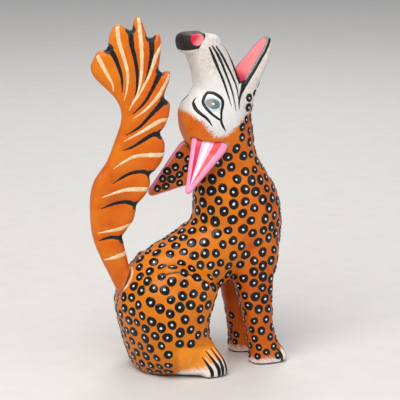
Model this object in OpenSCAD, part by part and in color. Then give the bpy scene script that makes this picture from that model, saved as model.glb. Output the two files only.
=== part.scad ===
// Howling coyote, a carved copal figure of the Oaxacan alebrije kind.
// The head, body and legs are one carved block. The tail and the two ears are
// separate carvings that plug into it on round wooden pegs and pull off.
// Millimetres. +Z is up, +X is the way the coyote faces, +Y is its left side.

/* [Body] */
// Thickness of the chest and neck from side to side, against the carved pattern
girth = 1; // [0.9:0.05:1.15]
// Sides of each carved cross-section
sides = 24; // [16:4:32]

/* [Tail] */
// Turn of the tail's flat plane out of the body's middle plane
tail_turn = -18; // [-26:2:0]
// Thickness of the tail at its widest
tail_thick = 9; // [7:0.5:11]
// Diameter of the tail's peg
tail_peg_d = 4; // [3:0.5:5]
// Length of the tail's peg
tail_peg_l = 20; // [16:1:22]

/* [Ears] */
// Length of an ear blade, from its root in the slot to its tip
ear_l = 25; // [22:1:28]
// Width of the right ear at the root
ear_w_right = 16; // [14:1:18]
// Width of the left ear at the root
ear_w_left = 21; // [16:1:22]
// Thickness of an ear at the root
ear_t = 4.4; // [4:0.2:5]
// Diameter of an ear's peg
ear_peg_d = 2.4; // [2:0.2:3]
// Length of an ear's peg
ear_peg_l = 13; // [10:1:15]

/* [Fits] */
// Clearance round a peg in the head's or rump's socket, on the radius
peg_fit = 0.05; // [0.02:0.01:0.1]
// Clearance between an ear's root and its slot, and between the tail and its seat
seat_gap = 0.2; // [0.15:0.05:0.3]

/* [Hidden] */
eps = 0.01;
// Shift that puts the middle of the whole figure's box on the origin
centre = [1, 0, 0];

// ---- Lofts ------------------------------------------------------------------

// A station is [x, y, z, lean, a, b, p]: the centre, the lean of the section's a-axis
// from +X towards +Z in degrees, the half sizes in the middle plane and across it,
// and the squareness (2 is an ellipse).
function power(v, p) = sign(v) * pow(abs(v), 2 / p);
function ring_point(s, t) =
    let (u = s[4] * power(cos(t), s[6]), w = s[5] * power(sin(t), s[6]))
    [s[0] + u * cos(s[3]), s[1] + w, s[2] + u * sin(s[3])];

// Catmull-Rom curve through the stations, with `steps` spans between each two
function curve(a, b, c, d, t) =
    0.5 * (2 * b + (c - a) * t + (2 * a - 5 * b + 4 * c - d) * t * t
        + (3 * b - a - 3 * c + d) * t * t * t);
function smooth(s, steps) =
    let (n = len(s) - 1)
    [for (i = [0 : n - 1], k = [0 : steps - 1])
        curve(s[max(i - 1, 0)], s[i], s[i + 1], s[min(i + 2, n)], k / steps), s[n]];

// Closed skin over the rings of stations
module loft(stations, steps = 2, n = sides) {
    rings = smooth(stations, steps);
    last = len(rings) - 1;
    points = [for (s = rings, k = [0 : n - 1]) ring_point(s, 360 * k / n)];
    walls = [for (i = [0 : last - 1], k = [0 : n - 1])
        let (a = i * n + k, b = i * n + (k + 1) % n)
        each [[a, b + n, b], [a, a + n, b + n]]];
    bottom = [for (k = [1 : n - 2]) [0, k, k + 1]];
    top = [for (k = [1 : n - 2]) [last * n, last * n + k + 1, last * n + k]];
    polyhedron(points, concat(walls, bottom, top));
}

// Right-handed frame at `origin` with +Z along `along` and +X near `across`
module place(origin, along, across) {
    z = along / norm(along);
    y = cross(z, across) / norm(cross(z, across));
    x = cross(y, z);
    multmatrix([[x.x, y.x, z.x, origin.x], [x.y, y.y, z.y, origin.y],
        [x.z, y.z, z.z, origin.z], [0, 0, 0, 1]]) children();
}

// ---- Places of the joints ---------------------------------------------------

tail_root = [-31.5, 1.5, 43];
function back_and_up(lift) =
    [-cos(lift) * cos(tail_turn), -cos(lift) * sin(tail_turn), sin(lift)];
// The peg leans up into the tail; the plane that the tail seats on faces more to the rear
peg_axis = back_and_up(52);
seat_axis = back_and_up(20);

right_root = [5, -8.8, 102.9];
right_along = [-14.1, -6.9, -19.5];
right_across = [21, -13, -4.5];
left_root = [4.1, 6, 92.7];
left_along = [-19.5, 5.6, -14.6];
left_across = [-14.8, 1.2, 20.1];
right_sunk = 3;
left_sunk = 6;

module at_tail() { translate(tail_root) rotate([0, 0, tail_turn]) children(); }
module at_tail_peg() { place(tail_root, peg_axis, [0, 0, 1]) children(); }
module at_seat() { place(tail_root, seat_axis, [0, 0, 1]) children(); }
module at_right_ear() { place(right_root, right_along, right_across) children(); }
module at_left_ear() { place(left_root, left_along, left_across) children(); }

// ---- Carved block -----------------------------------------------------------

g = girth;
module rump() loft([
    [-9.4, 0, 0, 0, 16, 14 * g, 2.4],
    [-10.4, 0, 4, 0, 18, 16 * g, 2.3],
    [-11.8, 0, 12, 0, 19, 20 * g, 2.2],
    [-13.5, 0, 22, 0, 20.2, 20.5 * g, 2.1],
    [-15.3, 0, 31, 0, 20.4, 19.5 * g, 2],
    [-15.2, 0, 39, 0, 19.2, 17.5 * g, 2],
    [-14, 0, 47, 0, 15.6, 13.4 * g, 2],
    [-13.6, 0, 52, 0, 11.4, 10 * g, 2],
    [-14, 0, 55.5, 0, 5.6, 6 * g, 2]]);

module barrel() loft([
    [-18, 0, 30, -82, 16, 15 * g, 2],
    [-13, 0, 38, -72, 18.8, 16.5 * g, 2],
    [-5, 0, 43.5, -62, 17.3, 16.5 * g, 2],
    [4.5, 0, 49.5, -50, 16.7, 16 * g, 2],
    [14, 0, 56, -35, 16.9, 16 * g, 2],
    [20, 0, 61, -15, 17.6, 15.5 * g, 2],
    [22, 0, 66, 0, 17, 13 * g, 2]]);

module neck_and_skull() loft([
    [26, 0, 44, 0, 14, 12 * g, 2.2],
    [25, 0, 54, 0, 18.5, 15.5 * g, 2.2],
    [23.8, 0, 64, 0, 20.8, 16.6 * g, 2.1],
    [23.4, 0, 72, 0, 20.6, 16.2 * g, 2.1],
    [22.2, 0, 80, 0, 19.3, 15 * g, 2],
    [20.4, 0, 87, 0, 16.6, 13.5 * g, 2],
    [18.6, 0, 94, 0, 14.4, 12.6 * g, 2],
    [15.4, 0, 100, 0, 15.2, 13 * g, 2.1],
    [13.2, 0, 106, 0, 16, 14 * g, 2.2],
    [11.8, 0, 112, 0, 16.1, 14.4 * g, 2.2],
    [11.4, 0, 118, 0, 15.7, 13.6 * g, 2.2],
    [13.4, 0, 123.5, 0, 13.4, 11.6 * g, 2.2],
    [13.8, 0, 128, 0, 10, 9.4 * g, 2.2]]);

module muzzle() loft([
    [15, 0, 122, 8, 12, 11.4 * g, 2.3],
    [13, 0, 130.5, 18, 10.4, 9.8 * g, 2.5],
    [10, 0, 138, 24, 9.1, 8.4 * g, 2.6],
    [7.2, 0, 144, 24, 8.4, 7.8 * g, 2.6],
    [5.8, 0, 148.2, 14, 7.8, 7.3 * g, 2.6],
    [5.4, 0, 150.8, 2, 6.6, 6.2 * g, 2.5]]);

module nose() loft([
    [1.6, 0, 143.4, 8, 3.2, 4.4 * g, 2.6],
    [0.6, 0, 145.2, 8, 5.6, 6.3 * g, 2.8],
    [0.4, 0, 149, 4, 6.5, 7 * g, 2.8],
    [1.2, 0, 151.4, 0, 6.3, 6.6 * g, 2.8],
    [1.6, 0, 152.4, 0, 5, 5.2 * g, 2.6]]);

module lower_jaw() loft([
    [19.3, 0, 101, 0, 11.6, 10.5 * g, 2.1],
    [19.6, 0, 109, -4, 10.2, 11 * g, 2.1],
    [20.9, 0, 116, -10, 7.8, 10.4 * g, 2.2],
    [23.6, 0, 122.6, -20, 6.3, 9.6 * g, 2.5],
    [26.6, 0, 128.4, -30, 5, 8.9 * g, 3],
    [30.9, 0, 134.6, -38, 4.1, 7.9 * g, 3.2],
    [35.2, 0, 140.7, -38, 3.4, 6.3 * g, 3.2],
    [38, 0, 145.4, -38, 2.5, 4.2 * g, 3],
    [39.2, 0, 147.6, -38, 1.3, 2.2 * g, 2.6]]);

module thigh() loft([
    [-9.4, 11.6, 1.8, 0, 11, 6, 2.3],
    [-10.4, 12.4, 5, 0, 13.2, 9.8, 2.3],
    [-12.4, 13, 12, 0, 14, 12.2, 2.3],
    [-13.4, 13, 23, 0, 14.6, 12.8, 2.3],
    [-10.6, 13, 34, 0, 15.2, 12.4, 2.3],
    [-8, 13, 41, 0, 14.2, 11, 2.3],
    [-10.5, 12.5, 47, 0, 11.4, 8.4, 2.2],
    [-13.5, 12, 51, 0, 6.5, 5, 2]]);

// Rounds the rump over to the thigh, so that the haunch is one form
module flank() loft([
    [-10, 6.6, 1.4, 0, 13.6, 10, 2.2],
    [-10.8, 7, 4.6, 0, 15.6, 13.2, 2.2],
    [-12.3, 7, 12, 0, 16.6, 16.6, 2.1],
    [-14, 7, 22, 0, 17.4, 17, 2.1],
    [-15.4, 7, 31, 0, 17.8, 16.6, 2],
    [-14.8, 7, 39, 0, 17, 14.8, 2],
    [-14, 7, 45, 0, 14.4, 12, 2],
    [-13.6, 7, 50, 0, 8.4, 7.6, 2]]);

module hind_foot() rotate([0, 0, 12]) loft([
    [1.4, 18, 0, 0, 11, 7.2, 2.8],
    [1.4, 18, 3.5, 0, 11.2, 7.4, 2.8],
    [0.6, 18, 8, 0, 10.4, 7.2, 2.7],
    [-1.8, 18, 13, 0, 9, 7, 2.5],
    [-4.4, 17.6, 19, 0, 7.8, 6.6, 2.4],
    [-7, 17, 26, 0, 6, 6, 2.2]]);

module foreleg(foot) loft([
    [33, foot, 0, 0, 8.4, 6.4, 2.7],
    [33.4, foot, 3, 0, 8.8, 6.6, 2.7],
    [32, foot - 0.2, 7.5, 0, 7.2, 6.1, 2.6],
    [29.8, foot - 0.6, 15, 0, 6.2, 5.8, 2.6],
    [28, foot - 1.2, 28, 0, 7.4, 6.2, 2.6],
    [27.2, foot - 2, 40, 0, 9.4, 6.8, 2.5],
    [28, foot - 3.4, 50, 0, 12, 7.6, 2.3],
    [27, foot - 5, 60, 0, 12, 7.6, 2.2]]);

// Slot that the root of an ear `w` wide, set `sunk` deep, sits in
module ear_slot(w, sunk) {
    u = w / 2 + seat_gap;
    t = ear_t / 2 + seat_gap;
    loft([for (z = [-sunk - seat_gap, 4, 9]) [0, 0, z, 0, u, t, 3]], 1);
}

// Everything outside the plane that the tail sits on
module seat_cut(size = 30) {
    at_seat() translate([-size / 2, -size / 2, -seat_gap / 2]) cube([size, size, 12]);
}

module carved_block() {
    // The empty resize hands the union of lofts over as one mesh
    resize([0, 0, 0]) difference() {
        union() {
            rump();
            barrel();
            neck_and_skull();
            muzzle();
            nose();
            lower_jaw();
            for (m = [0, 1]) mirror([0, m, 0]) {
                thigh();
                flank();
                hind_foot();
            }
            foreleg(9);
            mirror([0, 1, 0]) foreleg(12);
        }
        seat_cut();
        at_right_ear() ear_slot(ear_w_right, right_sunk);
        at_left_ear() ear_slot(ear_w_left, left_sunk);
    }
}

module body() {
    color("darkorange") difference() {
        carved_block();
        at_tail_peg() translate([0, 0, -tail_peg_l / 2 - 0.5])
            cylinder(d = tail_peg_d + 2 * peg_fit, h = tail_peg_l, $fn = 48);
        at_right_ear() ear_socket(right_sunk);
        at_left_ear() ear_socket(left_sunk);
    }
}

module ear_socket(sunk) {
    translate([0, 0, -sunk - ear_peg_l / 2 - 0.5])
        cylinder(d = ear_peg_d + 2 * peg_fit, h = ear_peg_l / 2 + 1, $fn = 32);
}

// ---- Tail -------------------------------------------------------------------

// Stations of the tail's root in its own plane: [across, up, lean, half width, half thickness]
root = [
    [0, 0.6, 70, 5.2, 4.1],
    [-4.2, 9.3, 38, 6, 4.2],
    [-6.6, 15.6, 18, 6.6, 4.3]];

// Edges of the board above the root: [up, rear edge, front edge, half thickness]
board = [
    [21.5, -14.5, -0.3, 4.4], [25, -15.1, 2, 4.4], [29, -15.4, 4.5, 4.4], [32.5, -15.5, 5, 4.4],
    [35.5, -15.3, 6.3, 4.4], [38.5, -15.1, 9, 4.4], [42, -14.4, 11.2, 4.4], [46, -12.8, 11.5, 4.4],
    [48.5, -11.2, 12, 4.4], [51, -9.4, 14.8, 4.3], [55, -7.3, 17.2, 4.3], [59, -5.6, 18, 4.2],
    [62.5, -4.2, 17.6, 4.2], [65.3, -3, 16, 4.1], [67.5, -2.3, 16.6, 4.1], [72, -1, 19.3, 4],
    [77, -1.2, 20.5, 3.9], [80, -2.5, 19.8, 3.8], [82.5, -4, 18, 3.7], [86, -6.8, 18.5, 3.6],
    [90, -11, 19, 3.5], [93.5, -13.8, 17.4, 3.4], [96, -14.5, 15.5, 3.3], [99.5, -13.3, 15.9, 3.2],
    [102.5, -11.6, 16.5, 3.1], [104.5, -7.6, 16.9, 3], [107.5, -6.1, 16.4, 2.8], [109.3, -5.8, 11, 2.6],
    [112.3, -5.2, 8.6, 2.4]];

// Pointed tips that stand out of the board, each a curve from inside it: [start, bend, tip, half width]
lobes = [
    [[-8, 92], [-10, 98], [-11.5, 103.4], 3],
    [[-1, 102], [-1.6, 109], [-2.6, 115.4], 4],
    [[6, 100], [6.6, 110], [6.6, 118.8], 3.4],
    [[12, 98], [14.4, 104], [15.2, 110.8], 2.6],
    [[13, 84], [17.6, 88], [20.3, 94.4], 2.6],
    [[8, 72], [14, 75], [20.2, 78.4], 3]];

function bend(l, t) = (1 - t) * (1 - t) * l[0] + 2 * t * (1 - t) * l[1] + t * t * l[2];
function bend_lean(l, t) =
    let (d = (1 - t) * (l[1] - l[0]) + t * (l[2] - l[1])) atan2(-d[0], d[1]);

module tail_lobe(l) {
    h = tail_thick / 2;
    shape = [for (t = [0, 0.2, 0.4, 0.6, 0.75, 0.87, 0.95, 1])
        let (c = bend(l, t), swell = sqrt(1 - pow(t, 2.4) * 0.95))
        [c[0], 0, c[1], bend_lean(l, t), l[3] * (0.8 + 0.2 * t) * swell, h * (0.82 - 0.2 * t) * sqrt(swell), 2.4]];
    loft(shape, 1, 16);
}

module tail() {
    color("orange") difference() {
        resize([0, 0, 0]) difference() {
            at_tail() union() {
                loft(concat([for (s = root) [s[0], 0, s[1], s[2], s[3], s[4] * tail_thick / 9, 2.6]],
                    [for (s = board) [(s[1] + s[2]) / 2, 0, s[0], 0, (s[2] - s[1]) / 2,
                        s[3] * tail_thick / 9, 2.8]]), 1, 32);
                for (l = lobes) tail_lobe(l);
            }
            at_seat() translate([-15, -15, seat_gap / 2 - 14]) cube([30, 30, 14]);
        }
        at_tail_peg() translate([0, 0, -5]) cylinder(d = tail_peg_d, h = tail_peg_l / 2 + 5, $fn = 48);
    }
}

// A dowel along +Z with bevelled ends
module dowel(d, l) {
    bevel = d / 8;
    rotate_extrude($fn = 48) polygon([[0, 0], [d / 2 - bevel, 0], [d / 2, bevel],
        [d / 2, l - bevel], [d / 2 - bevel, l], [0, l]]);
}

module tail_peg() {
    color("burlywood") at_tail_peg() translate([0, 0, -tail_peg_l / 2]) dowel(tail_peg_d, tail_peg_l);
}

// ---- Ears -------------------------------------------------------------------

// Stations of a blade: [distance along, width, thickness], as shares of the length in
// twenty-fifths and of the root's width and thickness
blade = [[-3, 1, 1], [0, 1, 1], [5, 0.83, 0.97], [10, 0.65, 0.92], [15, 0.47, 0.84], [20, 0.29, 0.72],
    [23, 0.19, 0.6], [24.6, 0.08, 0.4]];

// Blade with its root at -sunk and its tip up +Z. Its dished face is towards +Y.
module ear_blade(w, sunk) {
    loft([for (s = blade)
        [0, 0, s[0] == -3 ? -sunk : s[0] * ear_l / 25, 0, w / 2 * s[1], ear_t / 2 * s[2], 3]], 2, 24);
}

module ear(w, sunk) {
    difference() {
        resize([0, 0, 0]) ear_blade(w, sunk);
        translate([0, 0, -sunk - 1]) cylinder(d = ear_peg_d, h = ear_peg_l / 2 + 1, $fn = 32);
    }
}

module ear_peg(sunk) {
    translate([0, 0, -sunk - ear_peg_l / 2]) dowel(ear_peg_d, ear_peg_l);
}

module ear_right() { color("hotpink") at_right_ear() ear(ear_w_right, right_sunk); }
module ear_left() { color("hotpink") at_left_ear() ear(ear_w_left, left_sunk); }
module ear_peg_right() { color("burlywood") at_right_ear() ear_peg(right_sunk); }
module ear_peg_left() { color("burlywood") at_left_ear() ear_peg(left_sunk); }

translate(centre) body();
translate(centre) tail();
translate(centre) tail_peg();
translate(centre) ear_right();
translate(centre) ear_left();
translate(centre) ear_peg_right();
translate(centre) ear_peg_left();
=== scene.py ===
"""Looks of the carved and painted howling coyote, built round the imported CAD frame.

Millimetres inside the helpers, metres in every Blender object. +X forward, +Y its left, +Z up.
"""
import math

import bpy
import numpy as np
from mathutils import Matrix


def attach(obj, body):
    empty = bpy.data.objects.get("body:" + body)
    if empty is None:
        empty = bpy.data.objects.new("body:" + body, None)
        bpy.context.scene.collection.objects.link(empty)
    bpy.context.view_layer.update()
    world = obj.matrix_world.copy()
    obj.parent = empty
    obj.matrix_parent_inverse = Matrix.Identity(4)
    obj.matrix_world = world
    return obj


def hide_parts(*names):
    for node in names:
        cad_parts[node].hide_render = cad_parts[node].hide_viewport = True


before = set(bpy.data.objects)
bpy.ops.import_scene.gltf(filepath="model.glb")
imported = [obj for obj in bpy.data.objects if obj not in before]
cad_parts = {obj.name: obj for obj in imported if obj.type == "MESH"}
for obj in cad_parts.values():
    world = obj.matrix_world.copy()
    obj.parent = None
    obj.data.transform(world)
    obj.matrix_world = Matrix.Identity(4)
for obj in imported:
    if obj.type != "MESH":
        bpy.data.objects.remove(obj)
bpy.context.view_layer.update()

import openvdb
from mathutils import Vector

MM = 0.001
SHIFT = np.array([1.0, 0, 0])   # the CAD's shift that centres the whole figure


# ---- Numbers ----------------------------------------------------------------

def smin(a, b, k):
    h = np.clip(0.5 + 0.5 * (b - a) / k, 0, 1)
    return b + (a - b) * h - k * h * (1 - h)


def smax(a, b, k):
    return -smin(-a, -b, k)


def ramp(lo, hi, x):
    t = np.clip((x - lo) / (hi - lo), 0, 1)
    return t * t * (3 - 2 * t)


def unit(v):
    v = np.asarray(v, float)
    return v / np.maximum(np.linalg.norm(v, axis=-1, keepdims=True), 1e-9)


def waves(x, y, z, size, seed, octaves=2):
    """Smooth seeded noise of about `size` millimetres, mostly within -1 to 1."""
    rng = np.random.default_rng(seed)
    total, amp, gain = 0, 1.0, 0
    for _ in range(octaves):
        for _ in range(6):
            d = unit(rng.normal(size=3)) * 2 * math.pi / size
            total = total + amp * np.sin(x * d[0] + y * d[1] + z * d[2] + rng.uniform(0, 6.28))
        gain += amp * 2.4
        amp, size = amp * 0.5, size * 0.5
    return total / gain


def spline(points, count):
    """`count` points evenly spaced along a Catmull-Rom curve through `points`."""
    p = np.array(points, float)
    e = np.vstack([2 * p[0] - p[1], p, 2 * p[-1] - p[-2]])
    out = []
    for i in range(1, len(e) - 2):
        for t in np.linspace(0, 1, 24, endpoint=False):
            a, b, c, d = e[i - 1], e[i], e[i + 1], e[i + 2]
            out.append(0.5 * (2 * b + (c - a) * t + (2 * a - 5 * b + 4 * c - d) * t * t
                              + (3 * b - a - 3 * c + d) * t ** 3))
    out = np.array(out + [e[-2]])
    run = np.concatenate([[0], np.cumsum(np.linalg.norm(np.diff(out, axis=0), axis=1))])
    at = np.linspace(0, run[-1], count)
    return np.stack([np.interp(at, run, out[:, k]) for k in range(out.shape[1])], 1)


def segment_distance(p, line):
    """Distance from points to a line of straight segments."""
    best = np.full(p.shape[:-1], 1e9)
    for a, b in zip(line[:-1], line[1:]):
        ab = b - a
        t = np.clip(((p - a) @ ab) / (ab @ ab), 0, 1)
        best = np.minimum(best, np.linalg.norm(p - a - t[..., None] * ab, axis=-1))
    return best


def inside_by(poly, x, z):
    """Signed distance to a polygon in the plane, positive inside it."""
    p = np.array([*poly, poly[0]], float)
    inside = np.zeros(np.shape(x), bool)
    for (ax, az), (bx, bz) in zip(p[:-1], p[1:]):
        inside ^= ((az > z) != (bz > z)) & (x < ax + (z - az) * (bx - ax) / ((bz - az) or 1e-9))
    away = segment_distance(np.stack([x, z], -1), p)
    return np.where(inside, away, -away)


# ---- Frames of the pegs and ears, as in the CAD -----------------------------

def place(origin, along, across):
    """An origin and rows X, Y and Z, with Z along `along` and X near `across`."""
    z = unit(along)
    y = unit(np.cross(z, across))
    return np.array(origin, float) + SHIFT, np.array([np.cross(y, z), y, z])


def to_local(fr, p):
    return (p - fr[0]) @ fr[1].T


def to_world(fr, q):
    return np.asarray(q, float) @ fr[1] + fr[0]


TURN = math.radians(-18)
TAIL_ROOT = np.array([-31.5, 1.5, 43.0])
U_TAIL = np.array([math.cos(TURN), math.sin(TURN), 0])
N_TAIL = np.array([-math.sin(TURN), math.cos(TURN), 0])
TAIL_FRAME = (TAIL_ROOT + SHIFT, np.array([U_TAIL, N_TAIL, [0, 0, 1]]))


def back_and_up(lift):
    a = math.radians(lift)
    return np.array([0, 0, math.sin(a)]) - math.cos(a) * U_TAIL


PEG = place(TAIL_ROOT, back_and_up(52), (0, 0, 1))
SEAT = place(TAIL_ROOT, back_and_up(20), (0, 0, 1))
EARS = {
    "right": dict(fr=place((5, -8.8, 102.9), (-14.1, -6.9, -19.5), (21, -13, -4.5)),
                  w=8, sunk=3, body="right_ear_unit"),
    "left": dict(fr=place((4.1, 6, 92.7), (-19.5, 5.6, -14.6), (-14.8, 1.2, 20.1)),
                 w=10.5, sunk=6, body="left_ear_unit"),
}
EAR_T, GAP = 2.2, 0.2           # half thickness of an ear, play round it in its slot
PEG_R, EAR_PEG_R = 2.0, 1.2     # the pegs' radii
PEG_PLAY = 0.15                 # play round a peg in the body's bore
PEG_BORE = 10.5                 # depth of the tail peg's bore in the body
EAR_BORE = 7.0                  # depth of an ear peg's bore below its slot
SEAT_HALF = 15                  # half width of the flats cut for the tail's seat


# ---- Distance fields --------------------------------------------------------

class Field:
    """A distance field on a regular grid, in millimetres, negative inside the solid."""

    def __init__(self, mesh, step, pad):
        mesh.calc_loop_triangles()
        pts = np.zeros(len(mesh.vertices) * 3, np.float32)
        mesh.vertices.foreach_get("co", pts)
        pts = pts.reshape(-1, 3) / np.float32(MM)
        tri = np.zeros(len(mesh.loop_triangles) * 3, np.int32)
        mesh.loop_triangles.foreach_get("vertices", tri)
        self.step = step
        self.low = np.floor((pts.min(0) - pad) / step).astype(int)
        high = np.ceil((pts.max(0) + pad) / step).astype(int)
        self.shape = tuple(int(v) for v in high - self.low + 1)
        grid = openvdb.FloatGrid.createLevelSetFromPolygons(
            np.ascontiguousarray(pts), triangles=tri.reshape(-1, 3).astype(np.uint32),
            transform=openvdb.createLinearTransform(voxelSize=step), halfWidth=pad / step)
        self.s = np.zeros(self.shape, np.float32)
        grid.copyToArray(self.s, ijk=tuple(int(v) for v in self.low))

    def grid(self):
        """The grid's X, Y and Z in millimetres, each shaped to broadcast."""
        x, y, z = [((np.arange(n) + lo) * self.step).astype(np.float32)
                   for n, lo in zip(self.shape, self.low)]
        return x[:, None, None], y[None, :, None], z[None, None, :]

    def blurred(self, values, sigma):
        f = np.fft.rfftn(values)
        for axis, n in enumerate(self.shape):
            w = np.fft.rfftfreq(n) if axis == 2 else np.fft.fftfreq(n)
            g = np.exp(-2 * (math.pi * w * sigma / self.step) ** 2)
            f *= g.reshape([-1 if k == axis else 1 for k in range(3)])
        return np.fft.irfftn(f, s=self.shape).astype(np.float32)

    def at(self, p, values=None):
        """Trilinear value at points p."""
        v = self.s if values is None else values
        q = np.clip(np.asarray(p) / self.step - self.low, 0, np.array(self.shape) - 1.001)
        i = q.astype(int)
        f = q - i
        out = 0
        for c in range(8):
            d = np.array([c & 1, c >> 1 & 1, c >> 2 & 1])
            j = i + d
            out = out + np.prod(np.where(d, f, 1 - f), axis=-1) * v[j[..., 0], j[..., 1], j[..., 2]]
        return out

    def normal(self, p):
        e = self.step * 0.75
        return unit(np.stack([self.at(p + d) - self.at(p - d) for d in np.eye(3) * e], -1))

    def on_skin(self, p, rounds=4):
        """Points p moved to the nearest skin, and the normals there."""
        p = np.array(p, float)
        for _ in range(rounds):
            p = p - self.normal(p) * np.clip(self.at(p), -3, 3)[..., None]
        return p, self.normal(p)

    def cast(self, p, d, reach):
        """Points p moved along d until they meet the skin; misses stay at their nearest."""
        p, d = np.array(p, float), unit(d)
        best, low = p.copy(), np.full(len(p), 1e9)
        gone = np.zeros(len(p))
        for _ in range(90):
            s = self.at(p)
            better = s < low - 1e-4
            low = np.where(better, s, low)
            best = np.where(better[:, None], p, best)
            go = np.where((s > 0.02) & (gone < reach), np.maximum(s * 0.8, 0.04), 0)
            gone += go
            p = p + d * go[:, None]
        hit = self.at(p) < 0.3
        return np.where(hit[:, None], p, best), hit

    def mesh(self):
        grid = openvdb.FloatGrid()
        grid.background = float(self.s.max())
        grid.copyFromArray(self.s, ijk=tuple(int(v) for v in self.low))
        grid.transform = openvdb.createLinearTransform(voxelSize=self.step)
        pts, quads = grid.convertToQuads(isovalue=0.0)
        return np.array(pts, float), np.array(quads, int)[:, ::-1]


# ---- Mesh objects -----------------------------------------------------------

class Pile:
    """Collects many small closed pieces into one mesh."""

    def __init__(self):
        self.pts, self.faces, self.n = [], [], 0

    def add(self, pts, faces):
        self.pts.append(np.asarray(pts, float))
        self.faces += [[i + self.n for i in f] for f in faces]
        self.n += len(pts)

    def build(self, name, paint, body="figure", slot="painted_wood"):
        return make(name, np.vstack(self.pts), self.faces, body, MAT[paint])


def make(name, pts, faces, body, material, replaces=()):
    me = bpy.data.meshes.new(name)
    me.from_pydata((np.asarray(pts, float) * MM).tolist(), [], [list(map(int, f)) for f in faces])
    me.validate()
    me.shade_smooth()
    ob = bpy.data.objects.new(name, me)
    bpy.context.scene.collection.objects.link(ob)
    ob.data.materials.append(material)
    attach(ob, body)
    if replaces:
        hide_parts(*replaces)
    return ob


def attributes(ob, **masks):
    """Stores where each paint goes on an object, as one number at each of its points."""
    for name, values in masks.items():
        layer = ob.data.attributes.new(name, "FLOAT", "POINT")
        layer.data.foreach_set("value", np.asarray(values, np.float32))


def ring_faces(rows, cols, closed=False):
    """Quads between `rows` rings of `cols` points; `closed` joins the last ring to the first."""
    return [[i * cols + k, i * cols + (k + 1) % cols,
             (i + 1) % rows * cols + (k + 1) % cols, (i + 1) % rows * cols + k]
            for i in range(rows if closed else rows - 1) for k in range(cols)]


def tube_faces(rows, cols):
    """A tube of rings with a flat face at each end."""
    return ring_faces(rows, cols) + [list(range(cols))[::-1], [(rows - 1) * cols + k for k in range(cols)]]


def dome_faces(n, levels):
    """A dome of rings of `n` points with a point on top and a flat face below."""
    last, top = (levels - 1) * n, levels * n
    cap = [[last + k, last + (k + 1) % n, top] for k in range(n)]
    return ring_faces(levels, n) + cap + [list(range(n))[::-1]]


def tangents(n):
    """Two directions along the skin for each normal, right-handed with it."""
    ref = np.where(np.abs(n[:, 2:3]) > 0.9, np.array([[1.0, 0, 0]]), np.array([[0, 0, 1.0]]))
    a = unit(np.cross(ref, n))
    return a, np.cross(n, a)


# A dab's rings: share of its radius, share of its height (None is the ring sunk in the skin)
DOME = [(1.0, None), (1.0, 0.0), (0.95, 0.40), (0.80, 0.76), (0.48, 0.97)]


def dabs(pile, field, centres, radii, height, rng, lift=0.0, sunk=0.25, n=16, oval=0.06):
    """Round dabs of thick paint that follow the skin, each a little uneven."""
    c, nrm = field.on_skin(centres)
    a, b = tangents(nrm)
    th = np.arange(n) * 2 * math.pi / n
    ph = rng.uniform(0, 6.28, (len(c), 2))
    r = radii[:, None] * (1 + oval * np.cos(2 * th - ph[:, :1]) + oval * 0.4 * np.cos(3 * th - ph[:, 1:]))
    rim = (np.cos(th) * r)[..., None] * a[:, None] + (np.sin(th) * r)[..., None] * b[:, None]
    raw = [c[:, None] + rim * k for k, _ in DOME] + [c[:, None]]
    up = [(-sunk if h is None else lift + h * height) for _, h in DOME] + [lift + height]
    up = np.concatenate([np.full(n, u) for u in up[:-1]] + [[up[-1]]])
    p, m = field.on_skin(np.concatenate(raw, 1), 2)
    p = p + m * up[:, None]
    faces = dome_faces(n, len(DOME))
    for one in p:
        pile.add(one, faces)


def patch(pile, field, outline, centre, side, height, lift, sunk=0.3):
    """A flat dab of paint given by its outline seen from the coyote's side."""
    o = spline(np.vstack([outline, outline[:1]]), 41)[:-1]
    area = np.sum(o[:, 0] * np.roll(o[:, 1], -1) - np.roll(o[:, 0], -1) * o[:, 1])
    if (area > 0) != (side < 0):
        o = o[::-1]
    levels = [(1.0, -sunk), (1.0, lift), (0.95, lift + 0.6 * height), (0.8, lift + height),
              (0.55, lift + height), (0.28, lift + height)]
    c = np.array(centre, float)
    flat = np.concatenate([c + (o - c) * k for k, _ in levels] + [[c]])
    up = np.concatenate([np.full(len(o), u) for _, u in levels] + [[lift + height]])
    p = from_side(field, flat, side)
    p, m = field.on_skin(p, 2)
    pile.add(p + m * up[:, None], dome_faces(len(o), len(levels)))


def from_side(field, xz, side):
    """The skin's points at the given places of the middle plane, seen from one side."""
    xz = np.asarray(xz, float)
    start = np.stack([xz[:, 0] + SHIFT[0], np.full(len(xz), side * 34.0), xz[:, 1]], 1)
    return field.cast(start, (0, -side, 0), 60)[0]


# A brush stroke's section: share of its half width, share of its height
STROKE = [(-1, None), (-1, 0.0), (-0.75, 0.75), (0, 1.0), (0.75, 0.75), (1, 0.0), (1, None)]


STROKE_STEP = 0.5               # distance between a stroke's rings
FULL_WIDTH = 0.7                # a narrower stroke is thinner too


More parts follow.
